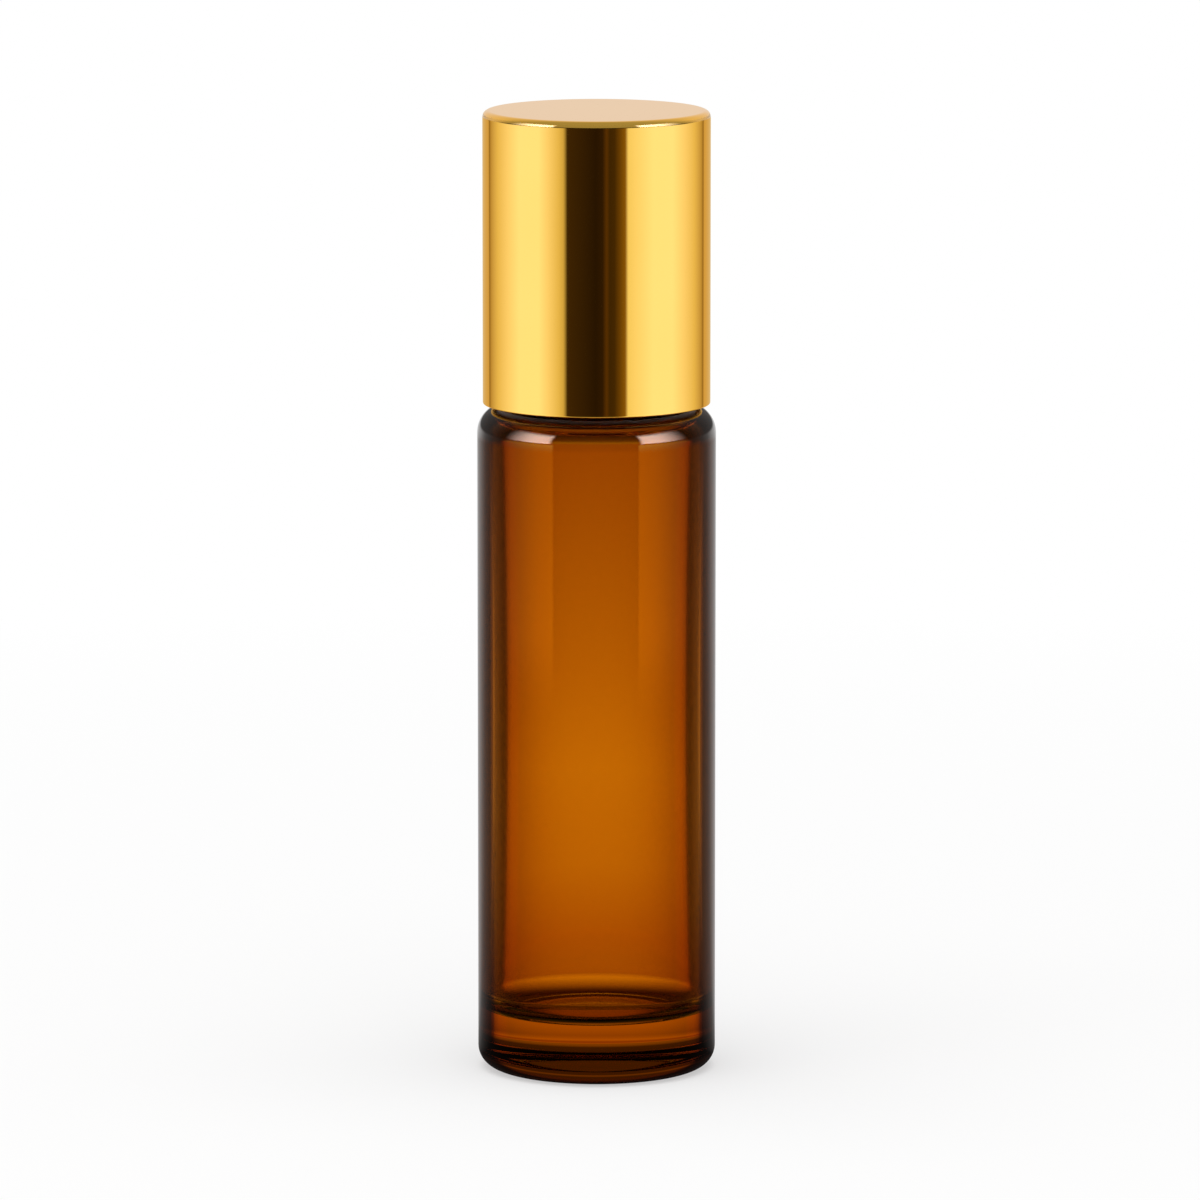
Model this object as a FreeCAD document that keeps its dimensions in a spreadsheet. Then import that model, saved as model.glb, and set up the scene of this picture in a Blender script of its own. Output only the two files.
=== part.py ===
"""Roll-on bottle: a thick amber glass bottle, a roller housing pressed into its neck, a steel ball,
and a screw cap made of a metal shell over a threaded inner cap with a loose sealing disc.

Millimetres, +Z up, origin at the centre of the base. Every outline is drawn in the XZ plane, as
radius and height, and is turned about Z.
"""

import math
import os

import FreeCAD
import Part
import Sketcher

Vector = FreeCAD.Vector

# Driving dimensions, each written once
SIZES = {
    # glass body
    "body_diameter": 21.0,
    "body_height": 59.1,
    "shoulder_round": 2.4,
    "base_round": 1.9,
    "wall_thickness": 1.45,
    "wall_bow": 0.4,
    "floor_thickness": 5.2,
    "floor_round": 1.9,
    "ceiling_thickness": 1.1,
    "ceiling_round": 1.7,
    "push_up_width": 13.0,
    "push_up_depth": 0.9,
    "push_up_round": 0.5,
    # glass neck
    "neck_diameter": 14.6,
    "neck_height": 12.4,
    "neck_bore": 10.4,
    "neck_root_round": 0.5,
    "rim_round": 0.5,
    "throat_round": 1.0,
    # screw thread: a round bead on the neck, and a ridge in the inner cap that runs between its turns
    "thread_pitch": 3.0,
    "thread_turns": 1.5,
    "thread_rise": 3.6,
    "bead_radius": 0.9,
    "bead_root": 0.4,
    "thread_gap": 0.25,
    "flank_gap": 0.2,
    "ridge_flare": 0.35,
    # ball
    "ball_diameter": 10.0,
    "ball_gap": 0.06,
    "ball_rise": 4.3,
    # roller housing
    "lip_rise": 1.8,
    "cup_wall": 1.34,
    "cup_round": 0.8,
    "flange_step": 0.4,
    "flange_thickness": 1.2,
    "flange_round": 0.3,
    "plug_length": 7.5,
    "plug_wall": 1.1,
    "plug_gap": 0.02,
    "seal_rib_height": 0.2,
    "seal_rib_width": 0.8,
    "seal_rib_step": 2.2,
    "seal_rib_count": 3,
    "passage_diameter": 5.0,
    "seat_thickness": 1.5,
    "feed_slot_width": 1.2,
    "feed_slot_wall": 0.8,
    "feed_slot_count": 4,
    # metal shell of the cap
    "cap_gap": 0.15,
    "shell_wall": 0.45,
    "shell_round": 0.6,
    "shell_inner_round": 0.15,
    "shell_lip_round": 0.15,
    # inner cap
    "inner_cap_wall": 0.9,
    "inner_cap_roof": 1.6,
    "inner_cap_recess": 0.6,
    "collar_height": 1.2,
    "grip_rib_height": 0.2,
    "grip_rib_width": 0.9,
    "grip_rib_count": 16,
    # sealing disc, and the ring of the inner cap that keeps it
    "disc_diameter": 11.0,
    "disc_thickness": 2.05,
    "disc_gap": 0.1,
    "disc_side_gap": 0.25,
    "disc_wrap": 0.5,
    "keeper_wall": 1.0,
    "keeper_bead": 0.35,
    "keeper_bead_height": 0.25,
    # the most of a wall that a fillet may take up
    "fillet_share": 0.9,
}

# Places worked out from the driving dimensions, in order of use
PLACES = {
    # glass body and neck
    "body_radius": "sizes.body_diameter / 2",
    "push_up_radius": "sizes.push_up_width / 2",
    "neck_radius": "sizes.neck_diameter / 2",
    "bore_radius": "sizes.neck_bore / 2",
    "rim_height": "sizes.body_height + sizes.neck_height",
    "ceiling_height": "sizes.body_height - sizes.ceiling_thickness",
    "wall_middle_radius": "body_radius - sizes.wall_thickness",
    "wall_end_radius": "wall_middle_radius + sizes.wall_bow",
    "wall_half_height": "(ceiling_height - sizes.floor_thickness) / 2",
    "wall_bow_radius": "(wall_half_height ^ 2 + sizes.wall_bow ^ 2) / (2 * sizes.wall_bow)",
    "wall_bow_centre": "wall_middle_radius + wall_bow_radius",
    "base_fillet": "min(sizes.base_round; sizes.fillet_share"
    " * (body_radius - push_up_radius - sizes.push_up_round))",
    "shoulder_fillet": "min(sizes.shoulder_round; sizes.fillet_share"
    " * (body_radius - neck_radius - sizes.neck_root_round))",
    "ceiling_fillet": "min(sizes.ceiling_round; sizes.fillet_share"
    " * (wall_end_radius - bore_radius - sizes.throat_round))",
    "rim_fillet": "min(sizes.rim_round; sizes.fillet_share * (neck_radius - bore_radius) / 2)",
    # neck thread
    "bead_height": "sizes.body_height + sizes.thread_rise",
    "bead_low": "bead_height - sizes.bead_radius",
    "bead_high": "bead_height + sizes.bead_radius",
    "bead_root_radius": "neck_radius - sizes.bead_root",
    # ball and roller housing
    "ball_radius": "sizes.ball_diameter / 2",
    "ball_height": "rim_height + sizes.ball_rise",
    "ball_top": "ball_height + ball_radius",
    "socket_radius": "ball_radius + sizes.ball_gap",
    "lip_height": "ball_height + sizes.lip_rise",
    "lip_radius": "sqrt(socket_radius ^ 2 - sizes.lip_rise ^ 2)",
    "passage_radius": "sizes.passage_diameter / 2",
    "seat_height": "ball_height - sqrt(socket_radius ^ 2 - passage_radius ^ 2)",
    "cup_radius": "socket_radius + sizes.cup_wall",
    "cup_fillet": "min(sizes.cup_round; sizes.fillet_share * (cup_radius - lip_radius))",
    "flange_radius": "cup_radius + sizes.flange_step",
    "flange_fillet": "min(sizes.flange_round; sizes.fillet_share * sizes.flange_step)",
    "flange_top": "rim_height + sizes.flange_thickness",
    "rib_radius": "bore_radius - sizes.plug_gap",
    "plug_radius": "rib_radius - sizes.seal_rib_height",
    "plug_bore_radius": "plug_radius - sizes.plug_wall",
    "plug_bottom": "rim_height - sizes.plug_length",
    "plug_bore_top": "seat_height - sizes.seat_thickness",
    "rib_low": "plug_bottom + sizes.seal_rib_width",
    "rib_high": "rib_low + sizes.seal_rib_width",
    "rib_root_radius": "plug_radius - sizes.plug_wall / 2",
    "rib_reach": "sizes.seal_rib_step * (sizes.seal_rib_count - 1)",
    "slot_reach": "plug_radius - sizes.feed_slot_wall",
    "slot_height": "ball_height - sqrt(socket_radius ^ 2 - slot_reach ^ 2) - plug_bore_top",
    # sealing disc
    "disc_radius": "sizes.disc_diameter / 2",
    "disc_bottom": "ball_top - sizes.disc_wrap",
    "dish_top": "ball_top + sizes.disc_gap",
    "dish_radius": "sqrt((ball_radius + sizes.disc_gap) ^ 2 - (disc_bottom - ball_height) ^ 2)",
    "disc_top": "dish_top + sizes.disc_thickness",
    # inner cap
    "roof_height": "disc_top + sizes.disc_gap",
    "roof_top": "roof_height + sizes.inner_cap_roof",
    "cap_bottom": "sizes.body_height + sizes.cap_gap",
    "inner_cap_bottom": "cap_bottom + sizes.inner_cap_recess",
    "inner_cap_bore_radius": "neck_radius + sizes.bead_radius + sizes.thread_gap",
    "inner_cap_radius": "inner_cap_bore_radius + sizes.inner_cap_wall",
    "collar_top": "inner_cap_bottom + sizes.collar_height",
    "keeper_radius": "disc_radius + sizes.disc_side_gap",
    "keeper_outer_radius": "keeper_radius + sizes.keeper_wall",
    "keeper_bead_radius": "keeper_radius - sizes.keeper_bead",
    "keeper_bead_top": "disc_bottom - sizes.disc_gap",
    "keeper_bottom": "keeper_bead_top - sizes.keeper_bead_height",
    "ridge_height": "bead_height - sizes.thread_pitch / 2",
    "ridge_crest_half": "sizes.thread_pitch / 2 - sizes.bead_radius - sizes.flank_gap",
    "ridge_root_half": "ridge_crest_half + sizes.ridge_flare",
    "ridge_crest_radius": "neck_radius + sizes.thread_gap",
    "ridge_root_radius": "inner_cap_bore_radius + sizes.inner_cap_wall / 2",
    "ridge_crest_low": "ridge_height - ridge_crest_half",
    "ridge_crest_high": "ridge_height + ridge_crest_half",
    "ridge_root_low": "ridge_height - ridge_root_half",
    "ridge_root_high": "ridge_height + ridge_root_half",
    # metal shell and the ribs that grip it
    "shell_bore_radius": "inner_cap_radius + sizes.grip_rib_height",
    "cap_radius": "shell_bore_radius + sizes.shell_wall",
    "cap_top": "roof_top + sizes.shell_wall",
    "grip_rib_start": "ridge_root_radius",
    "grip_rib_end": "sqrt(shell_bore_radius ^ 2 - (sizes.grip_rib_width / 2) ^ 2)",
    "grip_rib_length": "grip_rib_end - grip_rib_start",
    "grip_rib_rise": "roof_height - collar_top",
}

# Stands for a corner's radius on the axis, or its height on the base plane
ZERO = None
FULL_TURN = 360
HALF_TURN = 180

# How a sketch numbers the points of an edge, its own two axes and its origin
START, END, CENTRE = range(1, 4)
LEVEL_AXIS, UPRIGHT_AXIS = range(-1, -3, -1)
ORIGIN = (LEVEL_AXIS, START)

doc = FreeCAD.newDocument("roll_on_bottle")


def fill_sheet(name, cells):
    """A spreadsheet with one named cell per row."""
    sheet = doc.addObject("Spreadsheet::Sheet", name)
    for row, (alias, content) in enumerate(cells.items(), start=1):
        sheet.set(f"A{row}", alias)
        sheet.set(f"B{row}", str(content))
        sheet.setAlias(f"B{row}", alias)
    doc.recompute()
    return sheet


sizes = fill_sheet("sizes", SIZES)
places = fill_sheet("places", {alias: "=" + formula for alias, formula in PLACES.items()})


def value(cell):
    """The number in a named cell of either sheet."""
    if cell is ZERO:
        return 0.0
    return float(getattr(sizes if cell in SIZES else places, cell))


def path(cell):
    """The expression that reads a named cell."""
    return ("sizes." if cell in SIZES else "places.") + cell


def new_body(label):
    body = doc.addObject("PartDesign::Body", label)
    body.Label = label
    return body


def origin_feature(body, role):
    return next(f for f in body.Origin.OriginFeatures if f.Role == role)


def z_axis(body):
    return origin_feature(body, "Z_Axis"), [""]


def bind(feature, **cells):
    """Ties each named property of a feature to a cell."""
    for name, cell in cells.items():
        feature.setExpression(name, path(cell))


def arc_centre(start, end, radius):
    """The point at that radius from the axis which is as far from start as from end."""
    (r1, z1), (r2, z2) = start, end
    height = ((r2 - radius) ** 2 - (r1 - radius) ** 2 + z2**2 - z1**2) / (2 * (z2 - z1))
    return radius, height


def short_arc(start, end, centre):
    """The shorter arc from start to end about centre; a half circle bulges away from the axis."""
    size = math.dist(start, centre)
    away = [(a + b) / 2 - c for a, b, c in zip(start, end, centre)]
    reach = math.hypot(*away)
    direction = [part / reach for part in away] if reach > size * 1e-9 else [1, 0]
    top = [c + size * d for c, d in zip(centre, direction)]
    return Part.Arc(Vector(*start), Vector(*top), Vector(*end))


def outline(body, name, corners):
    """A closed sketch through corners of (radius cell, height cell).

    A corner with a third cell starts an arc, and that cell holds its centre's distance from the axis.
    """
    sketch = body.newObject("Sketcher::SketchObject", name)
    sketch.AttachmentSupport = [(origin_feature(body, "XZ_Plane"), "")]
    sketch.MapMode = "FlatFace"
    points = [(value(radius), value(height)) for radius, height, *_ in corners]
    for (_, _, *centre), start, end in zip(corners, points, points[1:] + points[:1]):
        if centre:
            sketch.addGeometry(short_arc(start, end, arc_centre(start, end, value(*centre))))
        else:
            sketch.addGeometry(Part.LineSegment(Vector(*start), Vector(*end)))
    ends = [edge_ends(sketch, edge, point) for edge, point in enumerate(points)]
    for edge, (radius, height, *centre) in enumerate(corners):
        first, before = ends[edge][0], edge - 1 if edge else len(corners) - 1
        join = (before, ends[before][1], edge, first)
        sketch.addConstraint(Sketcher.Constraint("Coincident", *join))
        place_point(sketch, edge, first, "DistanceX", radius)
        place_point(sketch, edge, first, "DistanceY", height)
        if centre:
            place_point(sketch, edge, CENTRE, "DistanceX", *centre)
    sketch.Visibility = False
    return sketch


def edge_ends(sketch, edge, corner):
    """An edge's first and last point numbers, in the outline's order: arcs may run the other way."""
    gaps = [sketch.getPoint(edge, point).distanceToPoint(Vector(*corner)) for point in (START, END)]
    return (START, END) if gaps[0] <= gaps[1] else (END, START)


def place_point(sketch, edge, point, direction, cell):
    """Ties a point's distance from the sketch's origin to a cell, or puts it on the sketch's axis."""
    if cell is ZERO:
        axis = UPRIGHT_AXIS if direction == "DistanceX" else LEVEL_AXIS
        sketch.addConstraint(Sketcher.Constraint("PointOnObject", edge, point, axis))
        return
    distance = Sketcher.Constraint(direction, *ORIGIN, edge, point, value(cell))
    index = sketch.addConstraint(distance)
    sketch.setExpression(f"Constraints[{index}]", path(cell))


def turn(body, name, sketch):
    """A full turn of a sketch about the Z axis."""
    feature = body.newObject("PartDesign::Revolution", name)
    feature.Profile = sketch
    feature.ReferenceAxis = z_axis(body)
    feature.Angle = FULL_TURN
    doc.recompute()
    return feature


def thread(body, name, section):
    """A right-handed thread: the section follows the shared pitch and number of turns."""
    feature = body.newObject("PartDesign::AdditiveHelix", name)
    feature.Profile = section
    feature.ReferenceAxis = z_axis(body)
    feature.Mode = "pitch-turns-angle"
    feature.HasBeenEdited = True
    bind(feature, Pitch="thread_pitch", Turns="thread_turns")
    doc.recompute()


def round_rings(body, base, rings):
    """Rounds circular edges in turn, each given as (radius cell, height cell, fillet cell)."""
    for radius, height, fillet_cell in rings:
        edges = [
            f"Edge{number}"
            for number, edge in enumerate(base.Shape.Edges, start=1)
            if is_ring(edge, value(radius), value(height))
        ]
        if not edges:
            raise ValueError(f"{body.Label}: no ring at {radius}, {height}")
        fillet = body.newObject("PartDesign::Fillet", f"{body.Label}_{fillet_cell}")
        fillet.Base = (base, edges)
        bind(fillet, Radius=fillet_cell)
        doc.recompute()
        base = fillet


def is_ring(edge, radius, height):
    if edge.Degenerated or not isinstance(edge.Curve, Part.Circle):
        return False
    size_matches = math.isclose(edge.Curve.Radius, radius, rel_tol=1e-6)
    return size_matches and math.isclose(edge.Curve.Center.z, height, rel_tol=1e-6, abs_tol=1e-6)


def copy_round(body, name, original, count_cell):
    """Copies a feature evenly round the Z axis."""
    pattern = body.newObject("PartDesign::PolarPattern", name)
    pattern.Originals = [original]
    pattern.Axis = z_axis(body)
    pattern.Angle = FULL_TURN
    bind(pattern, Occurrences=count_cell)
    body.Tip = pattern
    doc.recompute()


def glass_bottle():
    """One piece of glass: body with a heavy floor, shoulder, neck and a bead thread."""
    body = new_body("glass_bottle")
    corners = [
        ("push_up_radius", ZERO),
        ("body_radius", ZERO),
        ("body_radius", "body_height"),
        ("neck_radius", "body_height"),
        ("neck_radius", "rim_height"),
        ("bore_radius", "rim_height"),
        ("bore_radius", "ceiling_height"),
        ("wall_end_radius", "ceiling_height", "wall_bow_centre"),
        ("wall_end_radius", "floor_thickness"),
        (ZERO, "floor_thickness"),
        (ZERO, "push_up_depth", ZERO),
    ]
    glass = turn(body, "bottle_turned", outline(body, "bottle_outline", corners))
    rings = [
        ("body_radius", ZERO, "base_fillet"),
        ("push_up_radius", ZERO, "push_up_round"),
        ("body_radius", "body_height", "shoulder_fillet"),
        ("neck_radius", "body_height", "neck_root_round"),
        ("neck_radius", "rim_height", "rim_fillet"),
        ("bore_radius", "rim_height", "rim_fillet"),
        ("bore_radius", "ceiling_height", "throat_round"),
        ("wall_end_radius", "ceiling_height", "ceiling_fillet"),
        ("wall_end_radius", "floor_thickness", "floor_round"),
    ]
    round_rings(body, glass, rings)
    neck_thread(body)
    return body


def neck_thread(body):
    """Half-round bead wound up the neck, rooted in the neck's wall and closed by half balls."""
    corners = [
        ("bead_root_radius", "bead_low"),
        ("neck_radius", "bead_low", "neck_radius"),
        ("neck_radius", "bead_high"),
        ("bead_root_radius", "bead_high"),
    ]
    thread(body, "neck_thread", outline(body, "bead_section", corners))
    for name, turns, facing in (("bead_start", "0", HALF_TURN), ("bead_end", "sizes.thread_turns", 0)):
        end = body.newObject("PartDesign::AdditiveSphere", name)
        bind(end, Radius="bead_radius")
        end.Angle3 = HALF_TURN
        angle = f"{FULL_TURN} deg * {turns}"
        end.setExpression("Placement.Base.x", f"places.neck_radius * cos({angle})")
        end.setExpression("Placement.Base.y", f"places.neck_radius * sin({angle})")
        end.setExpression("Placement.Base.z", f"places.bead_height + sizes.thread_pitch * {turns}")
        end.setExpression("Placement.Rotation.Angle", f"{facing} deg + {angle}")
        doc.recompute()


def roller_housing():
    """The fitment that holds the ball: ribbed plug, flange on the neck's rim and snap-in cup."""
    body = new_body("roller_housing")
    corners = [
        ("plug_bore_radius", "plug_bottom"),
        ("plug_radius", "plug_bottom"),
        ("plug_radius", "rim_height"),
        ("flange_radius", "rim_height"),
        ("flange_radius", "flange_top"),
        ("cup_radius", "flange_top"),
        ("cup_radius", "lip_height"),
        ("lip_radius", "lip_height", ZERO),
        ("passage_radius", "seat_height"),
        ("passage_radius", "plug_bore_top"),
        ("plug_bore_radius", "plug_bore_top"),
    ]
    sketch = outline(body, "housing_outline", corners)
    rings = [
        ("cup_radius", "lip_height", "cup_fillet"),
        ("flange_radius", "flange_top", "flange_fillet"),
    ]
    round_rings(body, turn(body, "housing_turned", sketch), rings)
    seal_ribs(body)
    feed_slots(body)
    return body


def seal_ribs(body):
    """Rings round the plug that seal it in the neck's bore."""
    corners = [
        ("rib_root_radius", "rib_low"),
        ("rib_radius", "rib_low"),
        ("rib_radius", "rib_high"),
        ("rib_root_radius", "rib_high"),
    ]
    rib = turn(body, "seal_rib", outline(body, "seal_rib_section", corners))
    pattern = body.newObject("PartDesign::LinearPattern", "seal_ribs")
    pattern.Originals = [rib]
    pattern.Direction = z_axis(body)
    bind(pattern, Length="rib_reach", Occurrences="seal_rib_count")
    body.Tip = pattern
    doc.recompute()


def feed_slots(body):
    """Slots through the ball's seat that let the liquid reach the ball."""
    slot = body.newObject("PartDesign::SubtractiveBox", "feed_slot")
    bind(slot, Length="slot_reach", Width="feed_slot_width", Height="slot_height")
    slot.setExpression("Placement.Base.y", "-sizes.feed_slot_width / 2")
    slot.setExpression("Placement.Base.z", "places.plug_bore_top")
    doc.recompute()
    copy_round(body, "feed_slots", slot, "feed_slot_count")


def roller_ball():
    body = new_body("roller_ball")
    ball = body.newObject("PartDesign::AdditiveSphere", "ball")
    bind(ball, Radius="ball_radius")
    ball.setExpression("Placement.Base.z", "places.ball_height")
    return body


def cap_shell():
    """Drawn metal cup that covers the inner cap."""
    body = new_body("cap_shell")
    corners = [
        ("cap_radius", "cap_bottom"),
        ("cap_radius", "cap_top"),
        (ZERO, "cap_top"),
        (ZERO, "roof_top"),
        ("shell_bore_radius", "roof_top"),
        ("shell_bore_radius", "cap_bottom"),
    ]
    rings = [
        ("cap_radius", "cap_top", "shell_round"),
        ("shell_bore_radius", "roof_top", "shell_inner_round"),
        ("cap_radius", "cap_bottom", "shell_lip_round"),
        ("shell_bore_radius", "cap_bottom", "shell_lip_round"),
    ]
    round_rings(body, turn(body, "shell_turned", outline(body, "shell_outline", corners)), rings)
    return body


def inner_cap():
    """Moulded cap inside the shell: thread ridge, keeper ring for the disc, and grip ribs."""
    body = new_body("inner_cap")
    corners = [
        ("inner_cap_bore_radius", "inner_cap_bottom"),
        ("shell_bore_radius", "inner_cap_bottom"),
        ("shell_bore_radius", "collar_top"),
        ("inner_cap_radius", "collar_top"),
        ("inner_cap_radius", "roof_top"),
        (ZERO, "roof_top"),
        (ZERO, "roof_height"),
        ("keeper_radius", "roof_height"),
        ("keeper_radius", "keeper_bead_top"),
        ("keeper_bead_radius", "keeper_bead_top"),
        ("keeper_radius", "keeper_bottom"),
        ("keeper_outer_radius", "keeper_bottom"),
        ("keeper_outer_radius", "roof_height"),
        ("inner_cap_bore_radius", "roof_height"),
    ]
    turn(body, "inner_cap_turned", outline(body, "inner_cap_outline", corners))
    ridge = [
        ("ridge_crest_radius", "ridge_crest_low"),
        ("ridge_root_radius", "ridge_root_low"),
        ("ridge_root_radius", "ridge_root_high"),
        ("ridge_crest_radius", "ridge_crest_high"),
    ]
    thread(body, "inner_cap_thread", outline(body, "ridge_section", ridge))
    rib = body.newObject("PartDesign::AdditiveBox", "grip_rib")
    bind(rib, Length="grip_rib_length", Width="grip_rib_width", Height="grip_rib_rise")
    rib.setExpression("Placement.Base.x", "places.grip_rib_start")
    rib.setExpression("Placement.Base.y", "-sizes.grip_rib_width / 2")
    rib.setExpression("Placement.Base.z", "places.collar_top")
    doc.recompute()
    copy_round(body, "grip_ribs", rib, "grip_rib_count")
    return body


def sealing_disc():
    """Loose soft disc under the inner cap's roof, dished to the ball that it presses on."""
    body = new_body("sealing_disc")
    corners = [
        ("dish_radius", "disc_bottom"),
        ("disc_radius", "disc_bottom"),
        ("disc_radius", "disc_top"),
        (ZERO, "disc_top"),
        (ZERO, "dish_top", ZERO),
    ]
    turn(body, "disc_turned", outline(body, "disc_outline", corners))
    return body


def check_document():
    for thing in doc.Objects:
        if "Invalid" in thing.State or "Error" in thing.State:
            raise RuntimeError(f"{thing.Label} failed: {thing.State}")


def check_piece(body):
    shape = body.Shape
    if shape.isNull() or not shape.isValid() or len(shape.Solids) != 1:
        raise RuntimeError(f"{body.Label} is not one valid solid")


def main():
    makers = (glass_bottle, roller_housing, roller_ball, sealing_disc, inner_cap, cap_shell)
    pieces = [make() for make in makers]
    doc.recompute()
    check_document()
    for body in pieces:
        check_piece(body)
    os.makedirs("parts", exist_ok=True)
    for body in pieces:
        body.Shape.exportStep(os.path.join("parts", body.Label + ".step"))
        print(f"{body.Label}: {body.Shape.Volume:.1f} mm3, {len(body.Shape.Faces)} faces")


main()
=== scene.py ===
# %% [markdown]
# # A roll-on bottle in amber glass with a gold cap
#
# The part is a small glass bottle with a ball in its neck and a screw cap over the ball. The packed
# CAD model is loaded first, as a frame: it says where each piece sits and what moves with what.
# Blender then makes the pieces that show again, finer than the CAD mesh, and gives every piece its
# finish.

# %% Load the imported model
import math

import bmesh
import bpy
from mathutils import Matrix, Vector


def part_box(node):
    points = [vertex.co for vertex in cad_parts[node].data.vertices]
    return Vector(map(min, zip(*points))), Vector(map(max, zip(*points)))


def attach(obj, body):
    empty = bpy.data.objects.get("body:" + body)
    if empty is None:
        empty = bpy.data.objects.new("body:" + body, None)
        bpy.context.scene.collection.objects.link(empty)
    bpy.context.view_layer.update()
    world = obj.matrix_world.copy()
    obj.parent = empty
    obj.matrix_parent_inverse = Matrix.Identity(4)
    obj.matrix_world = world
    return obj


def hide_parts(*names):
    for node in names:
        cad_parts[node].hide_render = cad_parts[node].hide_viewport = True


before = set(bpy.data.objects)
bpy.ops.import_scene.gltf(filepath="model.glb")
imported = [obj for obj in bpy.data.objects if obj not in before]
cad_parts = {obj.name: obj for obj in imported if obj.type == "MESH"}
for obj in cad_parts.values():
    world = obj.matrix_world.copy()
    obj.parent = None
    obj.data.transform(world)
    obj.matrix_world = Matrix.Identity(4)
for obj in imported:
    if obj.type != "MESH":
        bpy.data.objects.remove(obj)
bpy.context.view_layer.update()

scene = bpy.context.scene
scene.view_settings.view_transform = "Standard"
MM = 0.001
for name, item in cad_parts.items():
    print(f"  {name}: {len(item.data.polygons)} CAD triangles")

# %% [markdown]
# ## The camera
#
# A product photograph like this is taken with a long lens from a little above the bottle. The
# distance, height and tilt below were found by fitting the bottle's outline, so they also carry its
# slight perspective: the ellipses of the cap's top and of the base are not equally open.

# %% Camera
CAMERA_PLACE = (0.0003, -0.846, 0.1739)
CAMERA_DIP = math.radians(8.88)
CAMERA_LENS = 291.4

camera = bpy.data.objects.new("camera", bpy.data.cameras.new("camera"))
camera.location = CAMERA_PLACE
camera.rotation_euler = (math.pi / 2 - CAMERA_DIP, 0, 0)
camera.data.lens = CAMERA_LENS
scene.collection.objects.link(camera)
scene.camera = camera
print("camera looks down", round(math.degrees(CAMERA_DIP), 2), "degrees")

# %% [markdown]
# ## A lathe in Geometry Nodes
#
# Glass bottles, drawn metal caps and balls are all bodies of revolution. The Spin operator could
# turn an outline, but it leaves seams and poles to clean up and it can't be changed later. Here a
# small node tree does it: a grid has one column for each step round the axis and one row for each
# point of the outline, every grid point looks up its outline point and is put at that radius and
# height, and Merge by Distance closes the seam and the poles.

# %% Node helpers
def node(tree, kind, **settings):
    """A new node with its properties set; a key of inputs links or fills the sockets in order."""
    made = tree.nodes.new(kind)
    inputs = settings.pop("inputs", ())
    for name, setting in settings.items():
        setattr(made, name, setting)
    for socket, given in zip(made.inputs, inputs):
        feed(tree, socket, given)
    return made


def feed(tree, socket, given):
    if isinstance(given, bpy.types.NodeSocket):
        tree.links.new(given, socket)
    elif given is not None:
        socket.default_value = given


def maths(tree, operation, *inputs, clamp=False):
    return node(tree, "ShaderNodeMath", operation=operation, use_clamp=clamp, inputs=inputs).outputs[0]


def tree_inputs(tree, *sockets):
    """Named inputs of a tree, the first one its geometry, and one output."""
    for name, kind in sockets:
        tree.interface.new_socket(name, in_out="INPUT", socket_type=f"NodeSocket{kind}")
    tree.interface.new_socket("Piece", in_out="OUTPUT", socket_type="NodeSocketGeometry")
    return tree.nodes.new("NodeGroupInput").outputs


# %% The lathe tree
WELD = 0.002 * MM


def make_lathe():
    tree = bpy.data.node_groups.new("lathe", "GeometryNodeTree")
    given = tree_inputs(tree, ("Outline", "Geometry"), ("Steps round", "Int"))
    outline, steps = given["Outline"], given["Steps round"]
    sized = node(tree, "GeometryNodeAttributeDomainSize", component="MESH", inputs=[outline])
    count = sized.outputs["Point Count"]
    index = node(tree, "GeometryNodeInputIndex").outputs[0]
    column = maths(tree, "FLOOR", maths(tree, "DIVIDE", maths(tree, "ADD", index, 0.5), count))
    row = maths(tree, "SUBTRACT", index, maths(tree, "MULTIPLY", column, count))
    lookup = node(tree, "GeometryNodeSampleIndex", data_type="FLOAT_VECTOR", domain="POINT")
    feed(tree, lookup.inputs["Geometry"], outline)
    feed(tree, lookup.inputs["Value"], node(tree, "GeometryNodeInputPosition").outputs[0])
    feed(tree, lookup.inputs["Index"], row)
    point = node(tree, "ShaderNodeSeparateXYZ", inputs=[lookup.outputs[0]]).outputs
    turn = maths(tree, "DIVIDE", maths(tree, "MULTIPLY", column, math.tau), steps)
    place = node(tree, "ShaderNodeCombineXYZ", inputs=[
        maths(tree, "MULTIPLY", point["X"], maths(tree, "COSINE", turn)),
        maths(tree, "MULTIPLY", point["X"], maths(tree, "SINE", turn)),
        point["Z"],
    ]).outputs[0]
    grid = node(tree, "GeometryNodeMeshGrid")
    feed(tree, grid.inputs["Vertices X"], maths(tree, "ADD", steps, 1))
    feed(tree, grid.inputs["Vertices Y"], count)
    moved = node(tree, "GeometryNodeSetPosition", inputs=[grid.outputs["Mesh"], None, place]).outputs[0]
    closed = node(tree, "GeometryNodeMergeByDistance", inputs=[moved])
    closed.inputs["Distance"].default_value = WELD
    tree.links.new(closed.outputs[0], tree.nodes.new("NodeGroupOutput").inputs[0])
    return tree


def make_finisher():
    """Every piece ends here: real geometry, smooth shading and its finish."""
    tree = bpy.data.node_groups.new("finisher", "GeometryNodeTree")
    given = tree_inputs(tree, ("Piece", "Geometry"), ("Finish", "Material"))
    real = node(tree, "GeometryNodeRealizeInstances", inputs=[given["Piece"]]).outputs[0]
    smooth = node(tree, "GeometryNodeSetShadeSmooth", inputs=[real]).outputs[0]
    painted = node(tree, "GeometryNodeSetMaterial", inputs=[smooth, None, given["Finish"]]).outputs[0]
    tree.links.new(painted, tree.nodes.new("NodeGroupOutput").inputs[0])
    return tree


LATHE, FINISHER = make_lathe(), make_finisher()
print("trees:", [tree.name for tree in bpy.data.node_groups])

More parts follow.
